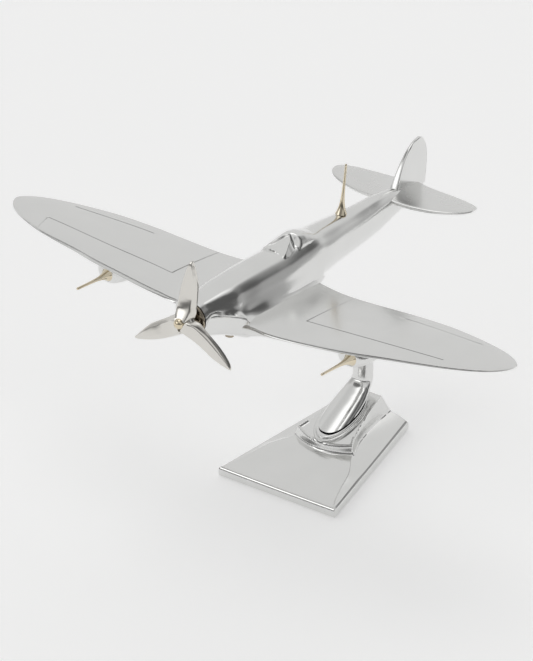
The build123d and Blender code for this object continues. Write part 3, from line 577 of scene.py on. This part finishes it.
def tail_section(x):
    """Closed outline of the tailplane at x: upper side, lower side, front face."""
    spread = sqrt(max(0.0, 1 - (x / TAIL_HALF) ** 2))
    front = TAIL_Y - 34 * spread - 1.5 * (1 - spread)
    chord = TAIL_Y + 17.5 * spread ** 0.8 - front
    datum = TAIL_Z + TAIL_DIHEDRAL * abs(x) + TAIL_FILLET * np.exp(-abs(x) / FILLET_REACH)
    thick = 1.2 + 2.6 * spread
    u = (1 - np.cos(np.linspace(0, pi, 26))) / 2
    w = u[1:][::-1]
    upper = np.c_[front + u * chord, datum + thick * 0.85 * u**0.5 * (1 - u) ** 0.8]
    lower = np.c_[front + w * chord, datum - thick * (0.6 * (1 - w) ** 0.6 + 0.15)]
    nose = [(front - ahead, datum - thick * down) for ahead, down in ((0.5, 0.55), (0.75, 0.3),
            (0.4, 0.08))]
    return np.vstack([upper, lower, nose])


def tailplane():
    xs = both_sides(TAIL_TIP * round_end(40))
    rows = [[(x, y, z) for y, z in tail_section(x)] for x in xs]
    return grid(aloft(np.array(rows)), wrap=True, ends=(True, True))


piece("tailplane_skin", *tailplane(), TAIL_METAL, "airframe_metal", nodes=("tailplane",), sharp=40)

# Height, front, rear, width of the flat front facet.
FIN = [(41.0, 227.0, 280.2, 7.0), (50.0, 229.6, 280.2, 6.6), (58.0, 232.6, 279.6, 5.6),
       (66.0, 236.4, 278.5, 4.4), (72.0, 240.0, 276.8, 3.5), (78.0, 244.6, 273.6, 2.6),
       (82.0, 249.4, 270.6, 2.0), (84.6, 254.4, 267.8, 1.6), (86.0, 259.2, 264.8, 1.2),
       (86.3, 261.4, 262.8, 0.8)]
# Shares of the fin's chord where its side has a point.
FIN_STOPS = (0.04, 0.1, 0.2, 0.35, 0.5, 0.65, 0.8, 0.92, 0.98)
FIN_BEVEL = 0.6          # width of the slanted strip between the facet and the side


def fin():
    zs = np.concatenate([np.linspace(41, 80, 40)[:-1], np.linspace(80, 86.3, 18)])
    rows = []
    for z, (front, rear, facet) in zip(zs, columns(FIN, zs)):
        side = facet / 2
        flat = side - min(FIN_BEVEL, 0.3 * side)
        port = [(-flat, front), (0, front - 0.05), (flat, front), (side - 0.1, front + 0.2),
                (side + 0.12, front + 0.7)]
        for u in FIN_STOPS:
            port.append((0.8 * side * (1 - u) ** 0.8 + 3.2 * u * (1 - u) + 0.45, front + u * (rear - front)))
        starboard = [(-x, y) for x, y in port[3:]][::-1]
        rows.append([(x, y, z) for x, y in port + [(0.0, rear)] + starboard])
    return grid(aloft(np.array(rows)), wrap=True, ends=(True, True), flip=True)


piece("fin_skin", *fin(), BODY_METAL, "airframe_metal", nodes=("fin",), sharp=38)

# ---------------------------------------------------------------- pods, cannons and mast
# Pod sections: y, half width, middle's height, half height.
POD = [(-14.5, 4.0, 8.6, 4.2), (-13.6, 8.6, 8.6, 7.0), (-11, 12.6, 9.2, 8.4), (-6, 15.4, 10.0, 9.4),
       (2, 16.6, 10.8, 10.0), (12, 15.6, 11.6, 9.6), (22, 12.6, 12.8, 8.2), (32, 8.4, 14.4, 5.6),
       (40, 4.0, 16.2, 2.6), (43, 0.6, 17.0, 0.5)]
POD_X = 115.4
CANNON_PLACE, MAST_PLACE = (116.5, -13.0, 8.0), (0, 147.0, 49.4)


def pod(side):
    ys = np.linspace(POD[0][0], POD[-1][0], 60)
    rows = [[(side * POD_X + half * cos(a), y, z + tall * sin(a)) for a in circle(48)]
            for y, (half, z, tall) in zip(ys, columns(POD, ys))]
    return grid(aloft(np.array(rows)), wrap=True, ends=(True, True), flip=True)


def trumpet(base, length, tip, flare):
    """Lathed spike with a flared foot and a pin below it."""
    rows = [(0.0, -7.0), (1.5, -7.0), (1.5, 0.0), (base * 0.96, 0.0)]
    for t in np.linspace(0, 1, 26):
        rows.append((tip + (base - tip) * np.exp(-flare * t) * (1 - 0.25 * t), t * length * 0.975 + 0.25))
    rows += [(tip * 0.8, length * 0.992), (tip * 0.4, length), (0.0, length)]
    return turned(rows, 40)


for side, hand in ((1, "port"), (-1, "starboard")):
    piece(f"pod_{hand}_skin", *pod(side), WING_METAL, "airframe_metal", nodes=(f"pod_{hand}",), sharp=50)
    place = (side * CANNON_PLACE[0], *CANNON_PLACE[1:])
    piece(f"cannon_{hand}_skin", *laid(trumpet(6.0, 42.5, 1.15, 6.0), place, forward=True),
          BRASS, "brass_fittings", nodes=(f"cannon_{hand}",), sharp=40)
piece("mast_skin", *laid(trumpet(5.0, 44.0, 1.0, 5.2), MAST_PLACE),
      BRASS, "brass_fittings", nodes=("mast",), sharp=40)

# ---------------------------------------------------------------- propeller, disc and nut
# Radius, half width, back, front face's height, pitch in degrees, lean of the blade's middle.
BLADE = [(3.0, 6.8, 3.0, 7.8, 2, 0.0), (7.0, 8.0, 3.0, 6.2, 2, 0.0), (10.0, 8.3, 3.0, 4.9, 3, 0.0),
         (12.5, 8.2, 2.9, 4.0, 4, 0.0), (15, 8.0, 2.9, 3.45, 6, 0.0), (19, 7.8, 2.9, 2.75, 8, 0.1),
         (23, 7.6, 2.9, 2.35, 10, 0.2), (27, 7.3, 2.9, 2.3, 10, 0.3), (32, 6.9, 2.8, 2.3, 9, 0.5),
         (38.5, 5.6, 2.6, 2.3, 8, 0.4), (45, 3.7, 2.3, 2.1, 6, 0.2), (49, 2.2, 1.9, 1.8, 4, 0.2),
         (51.6, 1.1, 1.1, 1.1, 3, 0.5), (52.75, 0.3, 0.4, 0.4, 2, 0.8)]
# Share of the half width, share of the back (positive) or of the front (negative).
BLADE_RIM = [(-0.92, 1.0), (-0.99, 0.9), (-1.0, 0.7), (-0.99, 0.3), (-0.96, -0.1), (-0.88, -0.6),
             (-0.80, -0.93), (-0.74, -1.0), (-0.4, -1.02), (0.0, -1.02), (0.46, -1.0), (0.54, -0.97),
             (0.62, -0.84), (0.76, -0.5), (0.90, -0.1), (0.97, 0.2), (1.0, 0.45), (1.0, 0.7),
             (0.96, 0.92), (0.88, 1.0), (0.4, 1.03), (-0.4, 1.03)]
BLADE_TURNS = (1.5, 119.0, 239.0)       # degrees from the top, towards port
BLADE_ROUND = 46                        # radius where the rounded tip starts
# Lathed parts in rows of radius and height; the dome nut sits slightly off the shaft's line.
HUB = [(2.1, -4.4), (6.0, -4.4), (8.0, -3.8), (9.0, -2.4), (9.3, 0.0), (9.0, 2.4), (8.0, 3.9), (6.0, 4.4),
       (2.1, 4.4)]
NUT = [(2.0, 0.0), (4.5, 0.0), (4.7, 0.2), (4.7, 1.2), (4.45, 1.4), (4.1, 1.5)]
NUT += [(4.35 * cos(radians(t)), 1.6 + 3.9 * sin(radians(t))) for t in np.linspace(4, 90, 14)]
NUT_PLACE = (-0.7, -79.3, SHAFT_Z + 0.9)
DISC = [(2.0, 0.0), (11.2, 0.0), (11.2, 1.2), (13.2, 1.25), (14.0, 1.9), (14.0, 2.9), (13.2, 3.55),
        (5.2, 3.6), (2.0, 3.6)]


def blade(turn):
    """One blade, turned about the shaft by the given angle."""
    radii = np.concatenate([
        np.linspace(BLADE[0][0], BLADE_ROUND, 44)[:-1],
        BLADE_ROUND + (BLADE[-1][0] - BLADE_ROUND) * round_end(16, 1.6)])
    width_share, depth_share = np.array(BLADE_RIM).T
    rows = []
    for r, (half, back, front, pitch, lean) in zip(radii, columns(BLADE, radii)):
        across = half * width_share + lean
        deep = np.where(depth_share > 0, back, front) * depth_share
        a, b = cos(radians(pitch)), sin(radians(pitch))
        x, y = across * a - deep * b, across * b + deep * a
        rows.append(np.c_[x * cos(turn) + r * sin(turn), PROP_Y + y, SHAFT_Z + r * cos(turn) - x * sin(turn)])
    return grid(aloft(np.array(rows)), wrap=True, ends=(True, True))


hub = laid(turned(HUB, 64), (0, PROP_Y, SHAFT_Z), forward=True)
piece("propeller_skin", *merged(hub, *[blade(radians(turn)) for turn in BLADE_TURNS]),
      PROP_METAL, "propeller_metal", nodes=("propeller",), body="propeller", sharp=45)
piece("dome_nut_skin", *laid(turned(NUT, 48), NUT_PLACE, forward=True),
      BRASS, "brass_fittings", nodes=("dome_nut",), sharp=30)
piece("nose_disc_skin", *laid(turned(DISC), (0, NOSE_Y, SHAFT_Z), forward=True),
      DISC_METAL, "airframe_metal", nodes=("nose_disc",), sharp=30)

# ---------------------------------------------------------------- base
# The upper face's middle panel by y: its half width and its height. It falls to the rim on both sides.
RIDGE = [(-75, 58.2), (-70, 54.2), (-60, 50.0), (-42, 45.0), (-28, 41.4), (-16, 35.4), (-8, 30.6),
         (-2, 28.4), (10, 25.4), (30, 21.6), (75, 17.5)]
RIDGE_Z = [(-75, 9.2), (-66, 9.9), (-55, 10.7), (-27, 12.4), (-5, 13.6), (30, 15.2), (75, 16.6)]
# Half width of the raised wedge by y.
HUMP_HALF = [(-20, 29.5), (-4, 28.6), (4, 26.2), (14, 23.0), (30, 20.4), (55, 18.4), (80, 17.4)]
BASE_END = 75            # the base runs from -BASE_END to BASE_END along y
FRONT_HALF, REAR_HALF, RIM_TOP = 58.3, 35.2, 9.2
ROUNDING = 2.4           # radius of the rounded top edge
REAR_LEAN, REAR_LEAN_Z = tan(radians(30)), 9.0
FOOT_Z, SKIRT_INSET, HOLLOW_Z = 0.8, 0.93, 1.9


def base_half(y):
    return FRONT_HALF + (REAR_HALF - FRONT_HALF) * (y + BASE_END) / (2 * BASE_END)


def base_height(x, y):
    """Height of the base's upper face at (x, y), before its edge is rounded."""
    ax, half = abs(x), base_half(y)
    ridge, crest = along(RIDGE, y), along(RIDGE_Z, y)
    if ax <= ridge:
        z = crest - 0.35 * (1 - (ax / ridge) ** 2)
    else:
        z = crest + (RIM_TOP - 0.6 - crest) * ((ax - ridge) / max(half - ridge, 0.1)) ** 0.9
    # The raised wedge with its curved front lip.
    front = -2.0 - 8.6 * max(0.0, 1 - (x / 28.5) ** 2)
    top = 18.2 + (min(y, 60.0) + 13) * 0.24
    inside = min(y - front, along(HUMP_HALF, y) - ax)
    roll = 1.3 * np.exp(-((inside - 1.2) / 1.5) ** 2) if y < 8 else 0.0
    return max(z, z + (top + roll - z) * step(-1.6, 1.2, inside))


def base():
    ys = np.concatenate([
        np.linspace(-BASE_END, -71, 9)[:-1], np.linspace(-71, -20, 40)[:-1], np.linspace(-20, 12, 65)[:-1],
        np.linspace(12, 71, 50)[:-1], np.linspace(71, BASE_END, 9)])
    shares = np.linspace(-1, 1, 181)
    shares = np.sign(shares) * (1 - (1 - np.abs(shares)) ** 1.06)
    rows = []
    for y in ys:
        half = base_half(y)
        row = []
        for x in shares * half:
            z = base_height(x, y)
            gap = min(half - abs(x), BASE_END + y, BASE_END - y)
            if gap < ROUNDING:
                z -= ROUNDING * (1 - sqrt(max(0.0, 1 - (1 - gap / ROUNDING) ** 2)))
            row.append((x, y, z))
        rows.append(row)
    p = np.array(rows)
    # The rear face leans forward.
    p[..., 1] = np.minimum(p[..., 1], BASE_END - np.maximum(0, p[..., 2] - REAR_LEAN_Z) * REAR_LEAN)
    rim = np.vstack([p[0], p[1:-1, -1], p[-1, ::-1], p[1:-1, 0][::-1]])
    low = rim.copy()
    low[:, 2] = FOOT_Z
    inner = low * [SKIRT_INSET, SKIRT_INSET, 1]
    hollow = inner.copy()
    hollow[:, 2] = HOLLOW_Z
    v, f = merged(grid(p), grid(np.array([rim, low, inner, hollow]), wrap=True, ends=(False, True), flip=True))
    return grounded(v), f


piece("base_casting_skin", *base(), STAND_METAL, "stand_metal", nodes=("base_casting",), sharp=40)

# ---------------------------------------------------------------- arm
# y, z, lean of the section's normal, half width, half depth.
ARM = [(25.5, 33.0, 13.5, 14.2, 29.0), (30.5, 35.6, 13.2, 13.9, 26.0), (34.7, 37.8, 12.8, 13.4, 23.3),
       (42.5, 41.9, 11.8, 11.9, 17.9), (49.0, 45.4, 11.3, 10.6, 13.0), (54.0, 48.6, 11.0, 9.8, 9.2),
       (56.4, 52.0, 6.0, 9.3, 7.2), (57.0, 61.0, 3.0, 9.0, 7.0), (56.0, 72.0, 6.0, 8.9, 7.0),
       (53.0, 84.0, 13.0, 8.8, 6.9), (49.0, 96.0, 21.0, 8.6, 6.8), (43.0, 108.0, 30.0, 8.5, 6.7),
       (34.5, 119.5, 40.0, 8.4, 6.6), (23.5, 130.5, 49.0, 8.3, 6.5), (9.5, 140.5, 56.0, 8.2, 6.4),
       (-7.0, 149.5, 60.0, 8.2, 6.3), (-25.0, 158.0, 63.0, 8.2, 6.2), (-44.0, 166.0, 66.0, 8.4, 6.1),
       (-62.0, 173.0, 68.0, 8.7, 6.0), (-78.0, 178.8, 70.0, 9.0, 5.9)]
ARM_BEND = 6             # row of ARM up to which the flare at the foot is drawn finely
# The oval foot rises in two steps on the wedge's sloping top: half width, half length, height.
ARM_FOOT = [(18.0, 35.0, -1.0), (18.0, 35.0, 1.4), (17.6, 34.6, 1.9), (16.8, 33.6, 2.0),
            (16.3, 33.0, 2.1), (16.2, 32.8, 3.4), (15.8, 32.3, 3.9), (15.0, 31.0, 4.1), (14.2, 29.6, 3.9),
            (10, 22, 3.9)]
FOOT_SLOPE, FOOT_Y, FOOT_LEVEL = radians(13.5), 25.0, 18.5
# The pad under the belly, in the aircraft's frame: rows of height and inset, and its rounded ends.
PAD_ROWS = ((-0.2, 1.2), (0.0, 0.6), (0.5, 0.0), (4.3, 0.0))
PAD_Y, PAD_Z, PAD_RADIUS = 44, -11.5, 12


def arm_neck(angles):
    """The flared stem and the curved neck, swept along the points of ARM."""
    rows = np.array(ARM, float)
    at = running(np.linalg.norm(np.diff(rows[:, :2], axis=0), axis=1))
    fine = np.concatenate([np.linspace(0, at[ARM_BEND], 50)[:-1], np.linspace(at[ARM_BEND], at[-1], 90)])
    c, s = np.cos(angles), np.sin(angles)
    out = []
    for y, z, lean, half, depth in through(at, rows, fine):
        a = half * np.sign(c) * np.abs(c) ** 0.85
        b = depth * np.sign(s) * np.abs(s) ** 0.95
        out.append(np.c_[a, y + b * cos(radians(lean)), z + b * sin(radians(lean))])
    return grid(np.array(out), wrap=True, ends=(True, True))


def arm_foot(angles):
    level = FOOT_LEVEL + 38 * tan(FOOT_SLOPE)
    c, s = cos(FOOT_SLOPE), sin(FOOT_SLOPE)
    out = []
    for half, length, h in ARM_FOOT:
        b = length * np.sin(angles)
        out.append(np.c_[half * np.cos(angles), FOOT_Y + b * c - h * s, level + b * s + h * c])
    return grid(np.array(out), wrap=True, ends=(True, True))


def arm_pad(angles):
    out = []
    for h, inset in PAD_ROWS:
        radius = PAD_RADIUS - inset
        ends = [PAD_Y + PAD_RADIUS * np.sign(round(sin(a), 9)) for a in angles]
        out.append([(radius * cos(a), y + radius * sin(a), PAD_Z + h) for a, y in zip(angles, ends)])
    return grid(np.array(out), wrap=True, ends=(True, True))


def arm():
    angles = circle(72)
    stem, stem_faces = merged(arm_neck(angles), arm_foot(angles))
    pad, pad_faces = arm_pad(angles)
    return merged((grounded(stem), stem_faces), (aloft(pad), pad_faces))


piece("support_arm_skin", *arm(), STAND_METAL, "stand_metal", nodes=("support_arm",), sharp=40)

# ---------------------------------------------------------------- carried-over CAD nodes
KEPT_NODES = {
    STEEL: ("arm_base_bolts", "arm_top_screws", "pod_screws", "fin_dowel", "tail_screw", "prop_shaft",
            "rear_washer", "front_washer"),
    DISC_METAL: ("wing_screws",), BRASS: ("prop_bush",), FELT: ("base_felt",)}
for material, names in KEPT_NODES.items():
    for name in names:
        frame["nodes"][name].data.materials.clear()
        frame["nodes"][name].data.materials.append(material)

# ---------------------------------------------------------------- floor
FLOOR_HALF, FLOOR_DROP = 9, 0.0002      # metres
FLOOR_LOOK = {
    "Base Color": (0.86, 0.86, 0.86, 1), "Roughness": 1.0, "Specular IOR Level": 0.0,
    "Emission Color": (1, 1, 1, 1), "Emission Strength": 0.303}
corners = [(x * FLOOR_HALF, y * FLOOR_HALF, 0) for x, y in ((-1, -1), (1, -1), (1, 1), (-1, 1))]
floor_mesh = bpy.data.meshes.new("floor")
floor_mesh.from_pydata(corners, [], [(0, 1, 2, 3)])
floor = bpy.data.objects.new("floor", floor_mesh)
bpy.context.scene.collection.objects.link(floor)
floor.location.z = -FLOOR_DROP
floor_mat = bpy.data.materials.new("pale_floor")
floor_mat.use_nodes = True
for socket, value in FLOOR_LOOK.items():
    floor_mat.node_tree.nodes["Principled BSDF"].inputs[socket].default_value = value
floor_mesh.materials.append(floor_mat)

# ---------------------------------------------------------------- light
BASE_LIGHT, LEAST_LIGHT = 0.75, 0.10
LIGHT_COLOUR = (1.0, 1.0, 0.995, 1)
# Soft lobes of the studio, in degrees: azimuth from the nose towards port, elevation, outer and inner
# half angle, added light.
LOBES = [
    (-98, 62, 15, 6, -0.10),
    (-48, 56, 18, 9, -0.58),
    (-32, 26, 17, 9, 0.85),
    (-95, 83, 21, 13, 0.70),
    (164, 48, 13, 6, 0.42),
    (148, 33, 23, 11, -0.46),
    (120, 38, 36, 15, -0.48),
    (104, 65, 15, 8, -0.42),
    (132, 6, 28, 12, -0.34),
    (108, 12, 26, 10, -0.22),
    (55, 18, 34, 10, -0.26),
    (16, 26, 30, 12, -0.46),
    (-84, 18, 28, 10, -0.24),
]
# A narrow darker horizon in front of the model draws thin lines along its rounded edges.
HORIZON_LIGHT, HORIZON_AZIMUTH = -0.62, 12
HORIZON_RISE, HORIZON_FALL, HORIZON_FRONT = (-0.01, 0.03), (0.24, 0.13), (0.05, 0.4)

bpy.context.scene.view_settings.view_transform = "Standard"
world = bpy.data.worlds.new("studio")
bpy.context.scene.world = world
world.use_nodes = True
nt = world.node_tree
direction = nt.nodes.new("ShaderNodeTexCoord").outputs["Generated"]


def toward(azimuth, elevation):
    a, e = radians(azimuth), radians(elevation)
    return sin(a) * cos(e), -cos(a) * cos(e), sin(e)


def worked(kind, operation, *inputs):
    """The result of a world node whose inputs are other results or fixed values."""
    node = nt.nodes.new(kind)
    node.operation = operation
    for socket, value in zip(node.inputs, inputs):
        if isinstance(value, bpy.types.NodeSocket):
            nt.links.new(value, socket)
        else:
            socket.default_value = value
    return node.outputs["Value"]


def rising(source, start, full, amount=1.0):
    """Smooth rise from 0 where source is start to amount where it is full."""
    node = nt.nodes.new("ShaderNodeMapRange")
    node.interpolation_type = "SMOOTHSTEP"
    for socket, value in (("From Min", start), ("From Max", full), ("To Min", 0.0), ("To Max", amount)):
        node.inputs[socket].default_value = value
    nt.links.new(source, node.inputs["Value"])
    return node.outputs["Result"]


def facing(azimuth, elevation):
    """Cosine of the angle between the light's direction and the given one."""
    return worked("ShaderNodeVectorMath", "DOT_PRODUCT", direction, toward(azimuth, elevation))


light = BASE_LIGHT
for azimuth, elevation, outer_angle, inner_angle, amount in LOBES:
    lobe = rising(facing(azimuth, elevation), cos(radians(outer_angle)), cos(radians(inner_angle)), amount)
    light = worked("ShaderNodeMath", "ADD", light, lobe)
split = nt.nodes.new("ShaderNodeSeparateXYZ")
nt.links.new(direction, split.inputs["Vector"])
horizon = worked("ShaderNodeMath", "MULTIPLY",
                 rising(split.outputs["Z"], *HORIZON_RISE), rising(split.outputs["Z"], *HORIZON_FALL))
horizon = worked("ShaderNodeMath", "MULTIPLY", horizon, rising(facing(HORIZON_AZIMUTH, 0), *HORIZON_FRONT))
light = worked("ShaderNodeMath", "MULTIPLY_ADD", horizon, HORIZON_LIGHT, light)
light = worked("ShaderNodeMath", "MAXIMUM", light, LEAST_LIGHT)
nt.links.new(light, nt.nodes["Background"].inputs["Strength"])
nt.nodes["Background"].inputs["Color"].default_value = LIGHT_COLOUR

bpy.context.view_layer.update()
